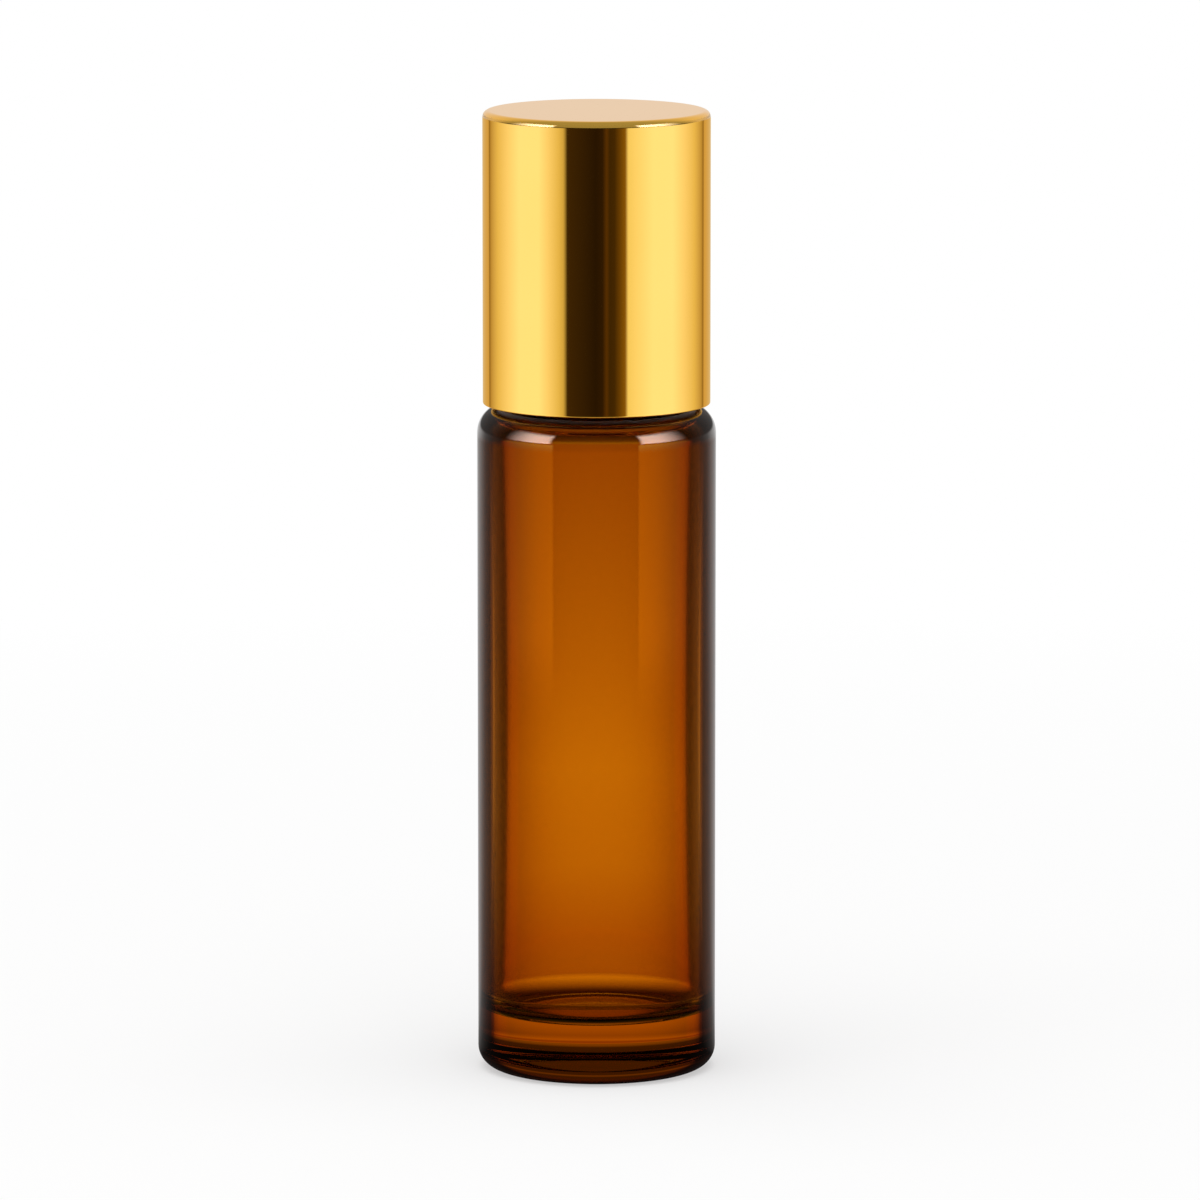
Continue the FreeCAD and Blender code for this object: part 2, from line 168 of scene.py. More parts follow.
# %% [markdown]
# ## Outlines with rounds
#
# An outline is a list of corners in millimetres: radius, height and the size of the round there.
# The helper turns each round into points of a true arc. Long straight runs also get a point just
# beside each round: smooth shading averages the normals of neighbouring faces, and without those
# points a whole straight wall would be shaded as if it bulged.

# %% Outline helper
ARC_STEP = math.radians(5)
BESIDE_ROUND = 0.06
LONGEST_RUN = 2.0
TINY = 1e-6


def rounded(corners, longest=LONGEST_RUN):
    """Points in mm along corners of (radius, height, round); a round of None marks a point on a curve."""
    stations = []
    for number, (radius, height, size) in enumerate(corners):
        if not size or number in (0, len(corners) - 1):
            stations.append(([(radius, height)], size is None))
            continue
        back, ahead = corners[number - 1], corners[number + 1]
        stations.append((arc_points((radius, height), back[:2], ahead[:2], size), False))
    points = list(stations[0][0])
    for (before, curved_before), (after, curved_after) in zip(stations, stations[1:]):
        points += run_points(before[-1], after[0], curved_before, curved_after, longest)
        points += after
    return points


def arc_points(corner, back, ahead, size):
    to_back, to_ahead = (unit(corner, other) for other in (back, ahead))
    opening = math.acos(max(-1, min(1, sum(a * b for a, b in zip(to_back, to_ahead)))))
    reach, away = size / math.tan(opening / 2), size / math.sin(opening / 2)
    middle = unit((0, 0), [a + b for a, b in zip(to_back, to_ahead)])
    centre = [c + away * m for c, m in zip(corner, middle)]
    start = [c + reach * d - o for c, d, o in zip(corner, to_back, centre)]
    end = [c + reach * d - o for c, d, o in zip(corner, to_ahead, centre)]
    swing = math.atan2(start[0] * end[1] - start[1] * end[0], start[0] * end[0] + start[1] * end[1])
    count = max(3, math.ceil(abs(swing) / ARC_STEP))
    turns = [swing * step / count for step in range(count + 1)]
    return [(centre[0] + start[0] * math.cos(t) - start[1] * math.sin(t),
             centre[1] + start[0] * math.sin(t) + start[1] * math.cos(t)) for t in turns]


def unit(start, end):
    length = math.dist(start, end)
    return [(e - s) / length for s, e in zip(start, end)]


def run_points(start, end, curved_start, curved_end, longest):
    length = math.dist(start, end)
    beside = min(BESIDE_ROUND, length / 5)
    first, last = 0 if curved_start else beside, length if curved_end else length - beside
    count = max(1, math.ceil((last - first) / longest))
    marks = [first + (last - first) * step / count for step in range(count + 1)]
    marks = [mark for mark in marks if TINY < mark < length - TINY]
    return [tuple(s + (e - s) * mark / length for s, e in zip(start, end)) for mark in marks]


def make_piece(name, points, *modifiers):
    """Runs an outline of points in mm through node trees and keeps the result as a plain mesh."""
    outline = bpy.data.meshes.new(f"{name}_outline")
    outline.from_pydata([(r * MM, 0, z * MM) for r, z in points], [], [])
    holder = bpy.data.objects.new(f"{name}_outline", outline)
    scene.collection.objects.link(holder)
    for tree, values in modifiers:
        modifier = holder.modifiers.new(tree.name, "NODES")
        modifier.node_group = tree
        for item in tree.interface.items_tree:
            if item.in_out == "INPUT" and item.name in values:
                modifier[item.identifier] = values[item.name]
    depsgraph = bpy.context.evaluated_depsgraph_get()
    mesh = bpy.data.meshes.new_from_object(holder.evaluated_get(depsgraph), depsgraph=depsgraph)
    bpy.data.objects.remove(holder)
    mesh.name = name
    piece = bpy.data.objects.new(name, mesh)
    scene.collection.objects.link(piece)
    return piece


def report(piece):
    """Size, closedness and volume: a negative volume would mean faces that point inwards."""
    check = bmesh.new()
    check.from_mesh(piece.data)
    loose = sum(not edge.is_manifold for edge in check.edges)
    volume = check.calc_volume(signed=True) / MM ** 3
    triangles = sum(len(face.verts) - 2 for face in check.faces)
    check.free()
    print(f"{piece.name}: {triangles} triangles, {loose} open edges, {volume:.1f} cubic mm,",
          [round(side / MM, 2) for side in piece.dimensions])


# %% [markdown]
# ## Amber glass
#
# Amber glass takes its colour from iron and sulphur in the melt: it drinks the blue, most of the
# green and some of the red along the whole way through it. A Volume Absorption does that by the
# real thickness of the glass. Part of the tint stays on the surface, as Base Color, so that the
# thick base doesn't go black. Where an upright wall is seen edge on, Layer Weight darkens that
# Base Color. This is painted shade: partly for the long way light goes round inside the wall,
# and partly standing in for the dark surroundings at the sides. The shoulder and the neck get a
# clear coat, because their highlights are white, not amber.

# %% Amber glass
GLASS_INDEX = 1.52
GLASS_SOAK = 400.0
GLASS_SOAK_COLOUR = (0.925, 0.80, 0.0, 1)
GLASS_MIRROR_TINT = (1.0, 0.3, 0.03, 1)
# Surface tint by slant. From about 0.35 on, it is painted shade for the dark edges of upright walls.
GLASS_TINT_AND_EDGE_SHADE_BY_SLANT = (
    (0.00, (0.80, 0.43, 0.060)),
    (0.05, (0.78, 0.415, 0.055)),
    (0.16, (0.70, 0.35, 0.045)),
    (0.23, (0.63, 0.30, 0.035)),
    (0.345, (0.52, 0.225, 0.025)),
    (0.375, (0.60, 0.22, 0.02)),
    (0.44, (0.60, 0.18, 0.02)),
    (0.49, (0.34, 0.09, 0.015)),
    (0.52, (0.05, 0.01, 0.003)),
    (0.56, (0.004, 0.001, 0.0003)),
)
COAT_RISE = (56.2 * MM, 57.0 * MM)
LEVEL_FACES = (0.985, 0.999)


def new_finish(name):
    finish = bpy.data.materials.new(name)
    finish.use_nodes = True
    tree = finish.node_tree
    return finish, tree, tree.nodes["Principled BSDF"], tree.nodes["Material Output"]


def ramp(tree, factor, stops):
    made = node(tree, "ShaderNodeValToRGB", inputs=[factor])
    marks = made.color_ramp.elements
    for _ in stops[2:]:
        marks.new(1.0)
    for mark, (place, colour) in zip(marks, stops):
        mark.position = place
        mark.color = (*colour, 1) if isinstance(colour, tuple) else (colour, colour, colour, 1)
    return made.outputs["Color"]


def amber_glass():
    finish, tree, shader, output = new_finish("amber_glass_finish")
    coords = node(tree, "ShaderNodeTexCoord").outputs
    level = node(tree, "ShaderNodeSeparateXYZ", inputs=[coords["Normal"]]).outputs["Z"]
    level = maths(tree, "ABSOLUTE", level)
    # Painted shade: the tint darkens where an upright wall is seen edge on. Level faces are left out.
    upright = node(tree, "ShaderNodeMapRange", inputs=[level, *LEVEL_FACES, 1.0, 0.0]).outputs[0]
    facing = node(tree, "ShaderNodeLayerWeight").outputs["Facing"]
    edge_shade_slant = maths(tree, "MULTIPLY", facing, upright)
    feed(tree, shader.inputs["Base Color"], ramp(tree, edge_shade_slant, GLASS_TINT_AND_EDGE_SHADE_BY_SLANT))
    for socket, setting in (("Transmission Weight", 1.0), ("IOR", GLASS_INDEX), ("Roughness", 0.0),
                            ("Specular Tint", GLASS_MIRROR_TINT), ("Coat Roughness", 0.0)):
        shader.inputs[socket].default_value = setting
    height = node(tree, "ShaderNodeSeparateXYZ", inputs=[coords["Object"]]).outputs["Z"]
    polish = node(tree, "ShaderNodeMapRange", inputs=[height, *COAT_RISE, 0.0, 1.0])
    feed(tree, shader.inputs["Coat Weight"], polish.outputs[0])
    soak = node(tree, "ShaderNodeVolumeAbsorption")
    soak.inputs["Color"].default_value = GLASS_SOAK_COLOUR
    soak.inputs["Density"].default_value = GLASS_SOAK
    tree.links.new(soak.outputs[0], output.inputs["Volume"])
    return finish


AMBER_GLASS = amber_glass()
print("glass soaks up per metre:", [round(GLASS_SOAK * (1 - c)) for c in GLASS_SOAK_COLOUR[:3]])

# %% [markdown]
# ## The glass bottle
#
# One outline holds both skins of the glass: it starts under the push-up in the base, goes up the
# outside, over the rim of the neck, down the bore and along the inside to the middle of the floor.
# The inside wall is bowed, as blown glass is: thickest half way up. Turned on the lathe, it is one
# closed solid, so the absorption knows how thick the glass is everywhere.

# %% Outline of the glass
BODY_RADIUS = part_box("glass_bottle")[1].x / MM
RIM_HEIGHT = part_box("glass_bottle")[1].z / MM
BODY_HEIGHT, SHOULDER_ROUND, BASE_ROUND = 59.1, 2.4, 1.9
PUSH_UP_RADIUS, PUSH_UP_DEPTH, PUSH_UP_ROUND = 6.5, 0.9, 0.5
NECK_RADIUS, BORE_RADIUS, NECK_ROOT_ROUND, RIM_ROUND, THROAT_ROUND = 7.3, 5.2, 0.5, 0.5, 1.0
WALL, WALL_BOW = 1.45, 0.4
FLOOR, FLOOR_ROUND, CEILING, CEILING_ROUND = 5.2, 1.9, BODY_HEIGHT - 1.1, 1.7
NECK_RUN = 0.1
GLASS_STEPS = 216


def push_up(count=10):
    """The shallow dome under the base, from the axis outwards."""
    ball = (PUSH_UP_RADIUS ** 2 + PUSH_UP_DEPTH ** 2) / (2 * PUSH_UP_DEPTH)
    radii = [PUSH_UP_RADIUS * step / count for step in range(count)]
    return [(r, math.sqrt(ball ** 2 - r ** 2) - ball + PUSH_UP_DEPTH, None) for r in radii]


def bowed_wall(count=18):
    """Points of the inside wall between its two ends, from the ceiling down."""
    end, half, middle = BODY_RADIUS - WALL + WALL_BOW, (CEILING - FLOOR) / 2, (CEILING + FLOOR) / 2
    bend = (half ** 2 + WALL_BOW ** 2) / (2 * WALL_BOW)
    heights = [half - 2 * half * step / count for step in range(1, count)]
    return [(end - math.sqrt(bend ** 2 - h ** 2) + bend - WALL_BOW, middle + h, None) for h in heights]


def glass_outline():
    end = BODY_RADIUS - WALL + WALL_BOW
    below_neck = [
        *push_up(), (PUSH_UP_RADIUS, 0, PUSH_UP_ROUND), (BODY_RADIUS, 0, BASE_ROUND),
        (BODY_RADIUS, BODY_HEIGHT, SHOULDER_ROUND), (NECK_RADIUS, BODY_HEIGHT, NECK_ROOT_ROUND),
        (NECK_RADIUS, RIM_HEIGHT, 0),
    ]
    neck = [
        (NECK_RADIUS, BODY_HEIGHT + NECK_ROOT_ROUND, 0), (NECK_RADIUS, RIM_HEIGHT, RIM_ROUND),
        (BORE_RADIUS, RIM_HEIGHT, RIM_ROUND), (BORE_RADIUS, RIM_HEIGHT - RIM_ROUND, 0),
    ]
    inside = [
        (BORE_RADIUS, RIM_HEIGHT, 0), (BORE_RADIUS, CEILING, THROAT_ROUND), (end, CEILING, CEILING_ROUND),
        *bowed_wall(), (end, FLOOR, FLOOR_ROUND), (0, FLOOR, 0),
    ]
    outside = [p for p in rounded(below_neck) if p[1] <= BODY_HEIGHT + NECK_ROOT_ROUND - TINY]
    cavity = [p for p in rounded(inside) if p[1] < RIM_HEIGHT - RIM_ROUND - TINY]
    return outside + rounded(neck, NECK_RUN)[:-1] + cavity


glass_points = glass_outline()
print(len(glass_points), "outline points; neck rim at", round(RIM_HEIGHT, 2), "mm")

# %% [markdown]
# ## The thread on the neck
#
# A glass thread is a round bead that is moulded with the neck, not a cut groove. A separate swept
# tube would leave a second skin inside the glass, and light would bend wrongly there. So a second
# tree pushes the neck's own wall outwards by the height of a round bead wherever it is near the
# helix. The bead thins out at both ends.

# %% Thread tree
PITCH, TURNS, THREAD_START, BEAD = 3.0, 1.5, 62.7, 0.9
THREAD_TAPER = 0.16
ON_WALL = 0.02 * MM


def make_bead_thread():
    tree = bpy.data.node_groups.new("bead thread", "GeometryNodeTree")
    given = tree_inputs(tree, ("Piece", "Geometry"), ("Pitch", "Float"), ("Turns", "Float"),
                        ("Start height", "Float"), ("Bead radius", "Float"), ("Neck radius", "Float"),
                        ("Taper turns", "Float"))
    pitch, bead, neck = given["Pitch"], given["Bead radius"], given["Neck radius"]
    place = node(tree, "GeometryNodeInputPosition").outputs[0]
    where = node(tree, "ShaderNodeSeparateXYZ", inputs=[place]).outputs
    around = maths(tree, "MULTIPLY", neck, math.tau)
    radius = maths(tree, "SQRT", maths(tree, "ADD", maths(tree, "POWER", where["X"], 2.0),
                                       maths(tree, "POWER", where["Y"], 2.0)))
    turned = maths(tree, "DIVIDE", maths(tree, "ARCTAN2", where["Y"], where["X"]), math.tau)
    left = 0.0
    for lap in (-1, 0, 1, 2):
        along = maths(tree, "ADD", turned, float(lap))
        kept = maths(tree, "MINIMUM", maths(tree, "MAXIMUM", along, 0.0), given["Turns"])
        past = maths(tree, "MULTIPLY", maths(tree, "SUBTRACT", along, kept), around)
        centre = maths(tree, "ADD", given["Start height"], maths(tree, "MULTIPLY", kept, pitch))
        off = maths(tree, "SUBTRACT", where["Z"], centre)
        apart = maths(tree, "ADD", maths(tree, "POWER", past, 2.0), maths(tree, "POWER", off, 2.0))
        to_end = maths(tree, "MINIMUM", kept, maths(tree, "SUBTRACT", given["Turns"], kept))
        full = maths(tree, "DIVIDE", to_end, given["Taper turns"], clamp=True)
        squared = maths(tree, "MULTIPLY", maths(tree, "POWER", bead, 2.0), full)
        left = maths(tree, "MAXIMUM", left, maths(tree, "SUBTRACT", squared, apart))
    on_wall = maths(tree, "COMPARE", radius, neck, ON_WALL)
    above = maths(tree, "GREATER_THAN", where["Z"], maths(tree, "SUBTRACT", given["Start height"], pitch))
    height = maths(tree, "MULTIPLY", maths(tree, "SQRT", left), maths(tree, "MULTIPLY", on_wall, above))
    share = maths(tree, "DIVIDE", height, radius)
    shift = node(tree, "ShaderNodeCombineXYZ", inputs=[
        maths(tree, "MULTIPLY", where["X"], share), maths(tree, "MULTIPLY", where["Y"], share)]).outputs[0]
    moved = node(tree, "GeometryNodeSetPosition", inputs=[given["Piece"], None, None, shift]).outputs[0]
    tree.links.new(moved, tree.nodes.new("NodeGroupOutput").inputs[0])
    return tree


BEAD_THREAD = make_bead_thread()
print("thread:", TURNS, "turns of", PITCH, "mm, bead of", BEAD, "mm radius")

# %% Glass bottle
glass = make_piece(
    "bottle_glass", glass_points,
    (LATHE, {"Steps round": GLASS_STEPS}),
    (BEAD_THREAD, {"Pitch": PITCH * MM, "Turns": TURNS, "Start height": THREAD_START * MM,
                   "Bead radius": BEAD * MM, "Neck radius": NECK_RADIUS * MM,
                   "Taper turns": THREAD_TAPER}),
    (FINISHER, {"Finish": AMBER_GLASS}),
)
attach(glass, "bottle")
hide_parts("glass_bottle")
report(glass)

# %% [markdown]
# ## Gold aluminium
#
# The cap is drawn from aluminium sheet, polished and anodised gold, so it is a near mirror. Drawing
# leaves very fine upright lines, which only show as a slight change of gloss. Noise that is
# stretched along Z makes them. The top edge is burnished by the drawing die, so a clear coat on the
# faces that lean outwards there gives it the small bright glints.

# %% Gold finish
GOLD, GOLD_DEEP = (0.96, 0.57, 0.09, 1), (0.92, 0.54, 0.08, 1)
GOLD_GLOSS = (0.03, 0.06)
GOLD_CLOUDS = 90
DRAWN_LINES, DRAWN_DETAIL = (3000, 3000, 25), 3
NOISE_SPAN = (0.3, 0.7)
BRIGHT_EDGE = ((0.0, 0.0), (0.08, 0.0), (0.14, 1.0), (0.42, 1.0), (0.55, 0.0))
EDGE_COAT_IOR = 1.8


def choose(tree, share, first, second):
    """A mix of two colours: the second one where the share is 1."""
    made = node(tree, "ShaderNodeMix", data_type="RGBA")
    sockets = [socket for socket in made.inputs if socket.type == "RGBA"]
    feed(tree, made.inputs[0], share)
    feed(tree, sockets[0], first)
    feed(tree, sockets[1], second)
    return next(socket for socket in made.outputs if socket.type == "RGBA")


def gold_aluminium():
    finish, tree, shader, _ = new_finish("gold_aluminium_finish")
    given = node(tree, "ShaderNodeTexCoord").outputs
    place = given["Object"]
    lines = node(tree, "ShaderNodeMapping", inputs=[place])
    lines.inputs["Scale"].default_value = DRAWN_LINES
    fine = node(tree, "ShaderNodeTexNoise", inputs=[lines.outputs[0]])
    fine.inputs["Detail"].default_value = DRAWN_DETAIL
    cloud = node(tree, "ShaderNodeTexNoise", inputs=[place])
    cloud.inputs["Scale"].default_value = GOLD_CLOUDS
    feed(tree, shader.inputs["Base Color"], choose(tree, cloud.outputs["Fac"], GOLD, GOLD_DEEP))
    gloss = node(tree, "ShaderNodeMapRange", inputs=[fine.outputs["Fac"], *NOISE_SPAN, *GOLD_GLOSS])
    feed(tree, shader.inputs["Roughness"], gloss.outputs[0])
    shader.inputs["Metallic"].default_value = 1.0
    facing = node(tree, "ShaderNodeSeparateXYZ", inputs=[given["Normal"]]).outputs["Z"]
    feed(tree, shader.inputs["Coat Weight"], ramp(tree, facing, BRIGHT_EDGE))
    shader.inputs["Coat Roughness"].default_value = 0.0
    shader.inputs["Coat IOR"].default_value = EDGE_COAT_IOR
    return finish


GOLD_ALUMINIUM = gold_aluminium()
print(GOLD_ALUMINIUM.name, "with roughness", GOLD_GLOSS)

# %% [markdown]
# ## The cap's shell
#
# A cup of thin sheet with a small round at its top edge and a lip at its mouth. It is turned on the
# same lathe, with both skins, because the inside shows when the cap is lifted.

# %% Cap shell
SHELL_LOW, SHELL_HIGH = (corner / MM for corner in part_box("cap_shell"))
SHELL_WALL, SHELL_ROUND, SHELL_INNER_ROUND, SHELL_LIP_ROUND = 0.45, 0.6, 0.15, 0.15
CAP_STEPS = 192
shell_bore = SHELL_HIGH.x - SHELL_WALL
shell = make_piece(
    "cap_gold_shell",
    rounded([
        (0, SHELL_HIGH.z - SHELL_WALL, 0), (shell_bore, SHELL_HIGH.z - SHELL_WALL, SHELL_INNER_ROUND),
        (shell_bore, SHELL_LOW.z, SHELL_LIP_ROUND), (SHELL_HIGH.x, SHELL_LOW.z, SHELL_LIP_ROUND),
        (SHELL_HIGH.x, SHELL_HIGH.z, SHELL_ROUND), (0, SHELL_HIGH.z, 0),
    ]),
    (LATHE, {"Steps round": CAP_STEPS}),
    (FINISHER, {"Finish": GOLD_ALUMINIUM}),
)
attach(shell, "cap")
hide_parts("cap_shell")
report(shell)

# %% [markdown]
# ## The steel ball
#
# The ball is ground and polished to a mirror. Its outline is a half circle, turned on the lathe,
# with faint swirls of wear in its gloss.

# %% Steel ball
STEEL_DARK, STEEL_LIGHT = (0.66, 0.66, 0.66), (0.72, 0.72, 0.72)
STEEL_GLOSS = (0.05, 0.09)
SWIRL_SCALE, SWIRL_TWIST = 900, 1.5


def polished_steel():
    finish, tree, shader, _ = new_finish("polished_steel_finish")
    place = node(tree, "ShaderNodeTexCoord").outputs["Object"]
    swirl = node(tree, "ShaderNodeTexNoise", inputs=[place])
    swirl.inputs["Scale"].default_value = SWIRL_SCALE
    swirl.inputs["Distortion"].default_value = SWIRL_TWIST
    shade = ramp(tree, swirl.outputs["Fac"], list(zip(NOISE_SPAN, (STEEL_DARK, STEEL_LIGHT))))
    feed(tree, shader.inputs["Base Color"], shade)
    gloss = node(tree, "ShaderNodeMapRange", inputs=[swirl.outputs["Fac"], *NOISE_SPAN, *STEEL_GLOSS])
    feed(tree, shader.inputs["Roughness"], gloss.outputs[0])
    shader.inputs["Metallic"].default_value = 1.0
    return finish


BALL_LOW, BALL_HIGH = (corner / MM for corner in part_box("roller_ball"))
BALL_STEPS = 96
ball_radius, ball_height = (BALL_HIGH.z - BALL_LOW.z) / 2, (BALL_HIGH.z + BALL_LOW.z) / 2
half_circle = [math.pi * (step / BALL_STEPS - 0.5) for step in range(BALL_STEPS + 1)]
ball = make_piece(
    "steel_ball",
    [(ball_radius * abs(math.cos(a)) if abs(a) < math.pi / 2 - TINY else 0,
      ball_height + ball_radius * math.sin(a)) for a in half_circle],
    (LATHE, {"Steps round": 2 * BALL_STEPS}),
    (FINISHER, {"Finish": polished_steel()}),
)
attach(ball, "ball")
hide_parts("roller_ball")
report(ball)

# %% [markdown]
# ## The moulded plastic pieces
#
# The roller housing, the inner cap and the sealing disc keep their CAD shapes, which are exact.
# They only need their finishes: milky polyethylene, white polypropylene and soft foam.

# %% Plastic finishes
PLASTIC_CLOUDS = 250
GLOSS_SPREAD, GRAIN_STRENGTH = 0.05, 0.3
GLOW_DEPTH, GLOW_COLOUR = 0.8 * MM, (1.0, 0.9, 0.8)


def moulded(name, light, dark, roughness, grain, depth, glow=0.0):
    """A plastic with faint clouds in its colour and a fine moulded grain."""
    finish, tree, shader, _ = new_finish(name)
    place = node(tree, "ShaderNodeTexCoord").outputs["Object"]
    cloud = node(tree, "ShaderNodeTexNoise", inputs=[place])
    cloud.inputs["Scale"].default_value = PLASTIC_CLOUDS
    shade = ramp(tree, cloud.outputs["Fac"], list(zip(NOISE_SPAN, (dark, light))))
    feed(tree, shader.inputs["Base Color"], shade)
    fine = node(tree, "ShaderNodeTexNoise", inputs=[place])
    fine.inputs["Scale"].default_value = grain
    low, high = roughness - GLOSS_SPREAD, roughness + GLOSS_SPREAD
    gloss = node(tree, "ShaderNodeMapRange", inputs=[fine.outputs["Fac"], *NOISE_SPAN, low, high])
    feed(tree, shader.inputs["Roughness"], gloss.outputs[0])
    bump = node(tree, "ShaderNodeBump")
    bump.inputs["Strength"].default_value = GRAIN_STRENGTH
    bump.inputs["Distance"].default_value = depth
    feed(tree, bump.inputs["Height"], fine.outputs["Fac"])
    feed(tree, shader.inputs["Normal"], bump.outputs[0])
    if glow:
        shader.inputs["Subsurface Weight"].default_value = glow
        shader.inputs["Subsurface Scale"].default_value = GLOW_DEPTH
        shader.inputs["Subsurface Radius"].default_value = GLOW_COLOUR
    return finish


FINISHES = {
    "roller_housing": moulded("housing_plastic_finish", (0.86, 0.86, 0.83), (0.81, 0.81, 0.78),
                              roughness=0.38, grain=6000, depth=0.01 * MM, glow=0.4),
    "inner_cap": moulded("inner_cap_plastic_finish", (0.88, 0.88, 0.86), (0.84, 0.84, 0.82),
                         roughness=0.42, grain=7000, depth=0.01 * MM),
    "sealing_disc": moulded("soft_seal_finish", (0.84, 0.84, 0.82), (0.78, 0.78, 0.76),
                            roughness=0.7, grain=5000, depth=0.03 * MM),
}
for name, finish in FINISHES.items():
    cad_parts[name].data.materials.clear()
    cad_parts[name].data.materials.append(finish)
    print(name, "has", finish.name)

# %% [markdown]
# ## The floor
#
# The photograph has a white table. Near the bottle the floor is half lit and half glowing, so that
# it is white but still takes a soft shadow, and further off it only glows at strength 1. What shows
# of the floor through the glass and in the glass is set apart with Light Path, by distance from the
# bottle. Through the glass it glows with painted light and shade: a painted shadow where the thick
# base stands on it, with a dim painted amber glow at the axis, brightest at a hand's breadth, and
# dimmer far off.

# %% Floor
FLOOR_REACH, FLOOR_CORNERS = 3.0, 96
FLOOR_WHITE = (0.96, 0.96, 0.96, 1)
HALF_TURN = 180
FLOOR_GLOW, SHADOW_REACH = 0.5, (60, 260)
FLOOR_THROUGH_SPAN = 500
# Painted shadow and light seen through the glass: glow levels by distance in mm, dark under the base.
FLOOR_THROUGH_GLASS_PAINTED_SHADE = (
    (0, (0.4, 0.22, 0.1)), (4, (0.4, 0.22, 0.1)), (7, 0.0), (13, 0.0), (18, (0.55, 0.45, 0.4)),
    (25, (1.0, 0.88, 0.7)), (34, (0.6, 0.4, 0.3)), (70, (0.7, 0.48, 0.4)), (110, (0.9, 0.82, 0.75)),
    (160, (0.97, 0.95, 0.9)), (210, (0.82, 0.73, 0.65)), (320, (0.54, 0.37, 0.3)), (370, (0.5, 0.33, 0.3)),
)
NEAR_FLOOR = (200, 270)
NEAR_FLOOR_IN_GLASS = ((0, 0.01), (100, 0.03), (118, 0.12), (135, 0.25), (147, 0.5), (180, 0.75))


def by_share(stops, span):
    return [(place / span, level) for place, level in stops]


def soft_step(tree, given, low, high):
    made = node(tree, "ShaderNodeMapRange", interpolation_type="SMOOTHSTEP",
                inputs=[given, low, high, 0.0, 1.0])
    return made.outputs[0]


def turn_from_camera_side(tree, direction, offset=0.0):
    """How far a direction is turned from the camera's side of the table, in degrees, either way."""
    part = node(tree, "ShaderNodeSeparateXYZ", inputs=[direction]).outputs
    turned = maths(tree, "ARCTAN2", part["X"], maths(tree, "MULTIPLY", part["Y"], -1.0))
    turned = maths(tree, "ABSOLUTE", maths(tree, "ADD", turned, offset))
    return maths(tree, "MULTIPLY", turned, HALF_TURN / math.pi)


def shade_mix(tree, share, first, second):
    return node(tree, "ShaderNodeMixShader", inputs=[share, first.outputs[0], second.outputs[0]])


def glow(tree, colour=None):
    return node(tree, "ShaderNodeEmission", inputs=[colour])


def pale_floor():
    finish, tree, _, output = new_finish("floor_white")
    tree.nodes.remove(tree.nodes["Principled BSDF"])
    way = node(tree, "ShaderNodeLightPath").outputs
    place = node(tree, "ShaderNodeTexCoord").outputs["Object"]
    far = node(tree, "ShaderNodeVectorMath", operation="LENGTH", inputs=[place]).outputs["Value"]
    far = maths(tree, "DIVIDE", far, MM)
    lit = node(tree, "ShaderNodeBsdfDiffuse", inputs=[FLOOR_WHITE])
    glowing = node(tree, "ShaderNodeMapRange", inputs=[far, *SHADOW_REACH, FLOOR_GLOW, 1.0]).outputs[0]
    white = shade_mix(tree, glowing, lit, glow(tree, (1, 1, 1, 1)))
    plain = shade_mix(tree, way["Is Camera Ray"], lit, white)
    far_share = maths(tree, "DIVIDE", far, FLOOR_THROUGH_SPAN)
    # Painted shadow and light for rays through the glass, by distance from the bottle.
    through = ramp(tree, far_share, by_share(FLOOR_THROUGH_GLASS_PAINTED_SHADE, FLOOR_THROUGH_SPAN))
    turned = maths(tree, "DIVIDE", turn_from_camera_side(tree, place), HALF_TURN)
    near = glow(tree, ramp(tree, turned, by_share(NEAR_FLOOR_IN_GLASS, HALF_TURN)))
    is_near = maths(tree, "MULTIPLY", way["Is Singular Ray"], soft_step(tree, far, *reversed(NEAR_FLOOR)))
    mirrored = shade_mix(tree, is_near, node(tree, "ShaderNodeBsdfTransparent"), near)
    both = shade_mix(tree, way["Is Glossy Ray"], plain, mirrored)
    both = shade_mix(tree, way["Is Transmission Ray"], both, glow(tree, through))
    tree.links.new(both.outputs[0], output.inputs["Surface"])
    return finish


bpy.ops.mesh.primitive_circle_add(vertices=FLOOR_CORNERS, radius=FLOOR_REACH, fill_type="NGON")
floor = bpy.context.object
floor.name = "floor"
floor.data.materials.append(pale_floor())
print("floor reaches", FLOOR_REACH, "m, its shadow fades out at", SHADOW_REACH[1], "mm")

# %% [markdown]
# ## The surroundings
#
# A mirror has no look of its own: a gold cap looks like gold because of what stands round it. Here
# that is a bright panel on each side, a dark gap where the camera stands, soft boxes above the
# panels for the highlights on the shoulder and the cap's edge, and a light wall behind, all written
# as levels by angle in the world's nodes. Rays from perfect mirrors are singular, so the glass and
# the slightly rough gold can have their own panels.

# %% Surroundings
PANEL_IN_METAL = (
    (60, (1.25, 1.38, 2.3)), (84, (1.25, 1.38, 2.3)), (118, (0.88, 0.82, 0.6)), (134, (0.55, 0.42, 0.16)),
    (138, (0.3, 0.2, 0.06)), (141, (0.7, 0.52, 0.2)), (180, (0.78, 0.62, 0.35)),
)
LEFT_IN_METAL = (
    (0, (0.022, 0.013, 0.004)), (29, (0.05, 0.03, 0.01)), (33, (0.7, 0.65, 0.52)), (38, (0.86, 0.83, 0.75)),
    *PANEL_IN_METAL,
)
RIGHT_IN_METAL = (
    (0, (0.022, 0.013, 0.004)), (7, (0.03, 0.017, 0.005)), (11, (0.1, 0.05, 0.005)),
    (14, (0.05, 0.03, 0.005)), (19, (0.06, 0.035, 0.005)), (24, (0.14, 0.08, 0.01)),
    (30, (0.26, 0.16, 0.02)), (33, (1.0, 1.05, 1.2)),
    *PANEL_IN_METAL,
)
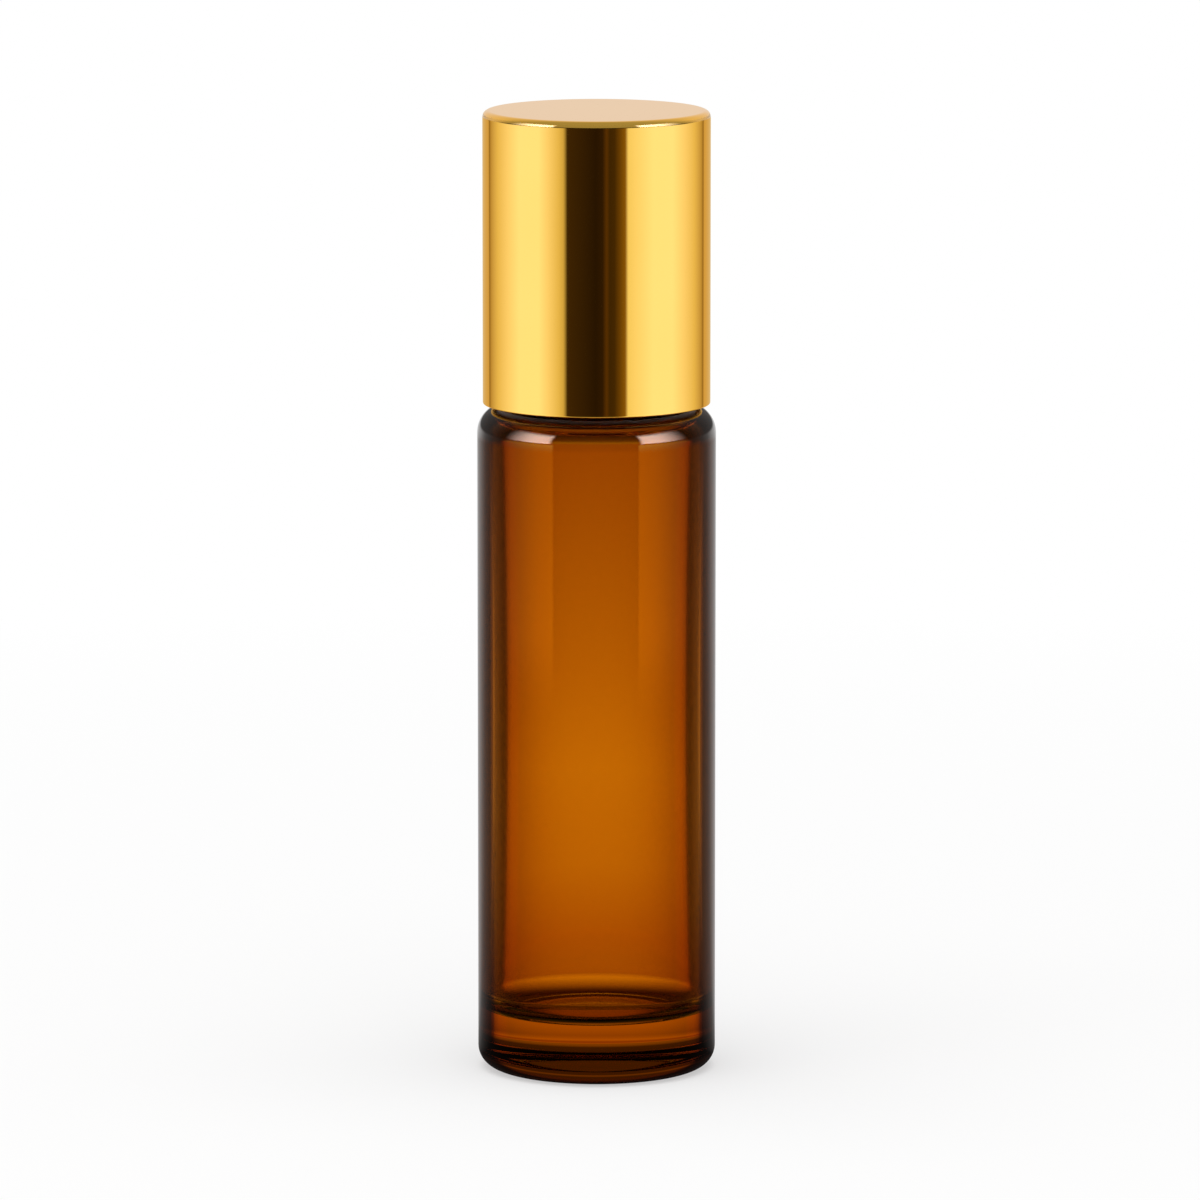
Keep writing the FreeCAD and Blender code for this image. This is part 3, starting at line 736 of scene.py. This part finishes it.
TABLE_IN_METAL, TABLE_DIP = (0.9, 0.85, 0.7, 1), (-40, -60)
PANELS_IN_GLASS = (
    (0, 0.01), (41, 0.01), (43, (2.2, 2.0, 0.4)), (60, (1.9, 1.7, 0.35)), (85, (0.7, 0.6, 0.2)),
    (100, 0.06), (118, 0.12), (135, 0.25), (147, 0.5), (180, 0.75),
)
PANEL_OFFSET = math.radians(0.8)
BOX_TURN, BOX_RISE = (42, 48, 58, 100), (1, 5, 28, 40)
BOX_IN_METAL, BOX_IN_GLASS = 1.1, 8.0
BACK_IN_METAL, BACK_IN_GLASS, REST_LEVEL = (0.85, 0.76, 0.70, 1), (0.1, 0.1, 0.1, 1), 0.01
FRONT_RISE, FRONT_LEVEL = (3, 13), 0.4
BACK_TURN, BACK_RISE = (95, 130), (75, 25)
THROUGH_RISE, THROUGH_LEVELS = (2.0, 7.0), (0.5, 0.12)
HORIZON = (-2.0, 2.0)
AROUND = (0.55, 0.55, 0.55, 1)


def window(tree, given, start, full, fading, gone):
    """Rises from start to full and falls again from fading to gone."""
    rising, falling = soft_step(tree, given, start, full), soft_step(tree, given, gone, fading)
    return maths(tree, "MULTIPLY", rising, falling)


def studio():
    world = bpy.data.worlds.new("studio")
    world.use_nodes = True
    tree = world.node_tree
    tree.nodes.clear()
    way = node(tree, "ShaderNodeLightPath").outputs
    direction = node(tree, "ShaderNodeTexCoord").outputs["Generated"]
    turned = turn_from_camera_side(tree, direction, PANEL_OFFSET)
    share = maths(tree, "DIVIDE", turned, HALF_TURN)
    part = node(tree, "ShaderNodeSeparateXYZ", inputs=[direction]).outputs
    rise = maths(tree, "MULTIPLY", maths(tree, "ARCSINE", part["Z"]), HALF_TURN / math.pi)
    right = maths(tree, "GREATER_THAN", part["X"], 0.0)
    sides = [ramp(tree, share, by_share(stops, HALF_TURN)) for stops in (LEFT_IN_METAL, RIGHT_IN_METAL)]
    in_metal = choose(tree, right, *sides)
    in_metal = choose(tree, soft_step(tree, rise, *TABLE_DIP), in_metal, TABLE_IN_METAL)
    in_glass = ramp(tree, share, by_share(PANELS_IN_GLASS, HALF_TURN))
    low = choose(tree, way["Is Singular Ray"], in_metal, in_glass)
    boxes = maths(tree, "MULTIPLY", window(tree, turned, *BOX_TURN), window(tree, rise, *BOX_RISE))
    back = maths(tree, "MULTIPLY", soft_step(tree, turned, *BACK_TURN), soft_step(tree, rise, *BACK_RISE))
    level = node(tree, "ShaderNodeMapRange",
                 inputs=[way["Is Singular Ray"], 0.0, 1.0, BOX_IN_METAL, BOX_IN_GLASS]).outputs[0]
    boxes = maths(tree, "ADD", maths(tree, "MULTIPLY", boxes, level), REST_LEVEL)
    front = maths(tree, "SUBTRACT", soft_step(tree, rise, *FRONT_RISE), way["Is Singular Ray"], clamp=True)
    boxes = maths(tree, "ADD", boxes, maths(tree, "MULTIPLY", front, FRONT_LEVEL))
    wall = choose(tree, way["Is Singular Ray"], BACK_IN_METAL, BACK_IN_GLASS)
    high = choose(tree, back, boxes, wall)
    mirrored = choose(tree, soft_step(tree, rise, *HORIZON), low, high)
    through = node(tree, "ShaderNodeMapRange", inputs=[rise, *THROUGH_RISE, *THROUGH_LEVELS]).outputs[0]
    light = choose(tree, way["Is Glossy Ray"], AROUND, mirrored)
    light = choose(tree, way["Is Transmission Ray"], light, through)
    light = choose(tree, way["Is Camera Ray"], light, (1, 1, 1, 1))
    sky = node(tree, "ShaderNodeBackground", inputs=[light])
    tree.links.new(sky.outputs[0], tree.nodes.new("ShaderNodeOutputWorld").inputs["Surface"])
    return world


scene.world = studio()
print("surroundings made with", len(scene.world.node_tree.nodes), "nodes")

# %% [markdown]
# ## The soft lamp
#
# One large lamp above and a little to the camera's side gives the white pieces their form and the
# bottle its faint shadow on the table. Mirrors don't see it, because the panels already stand for
# the lamps there.

# %% Lamp
LAMP_PLACE, LAMP_SIZE, LAMP_POWER = (-0.05, -0.15, 0.9), 0.9, 5.2

lamp = bpy.data.objects.new("soft_lamp", bpy.data.lights.new("soft_lamp", "AREA"))
lamp.data.shape = "SQUARE"
lamp.data.size = LAMP_SIZE
lamp.data.energy = LAMP_POWER
lamp.location = LAMP_PLACE
lamp.rotation_euler = (-lamp.location).to_track_quat("-Z", "Y").to_euler()
lamp.visible_camera = lamp.visible_glossy = lamp.visible_transmission = False
scene.collection.objects.link(lamp)
print("lamp of", LAMP_POWER, "W,", LAMP_SIZE, "m wide")
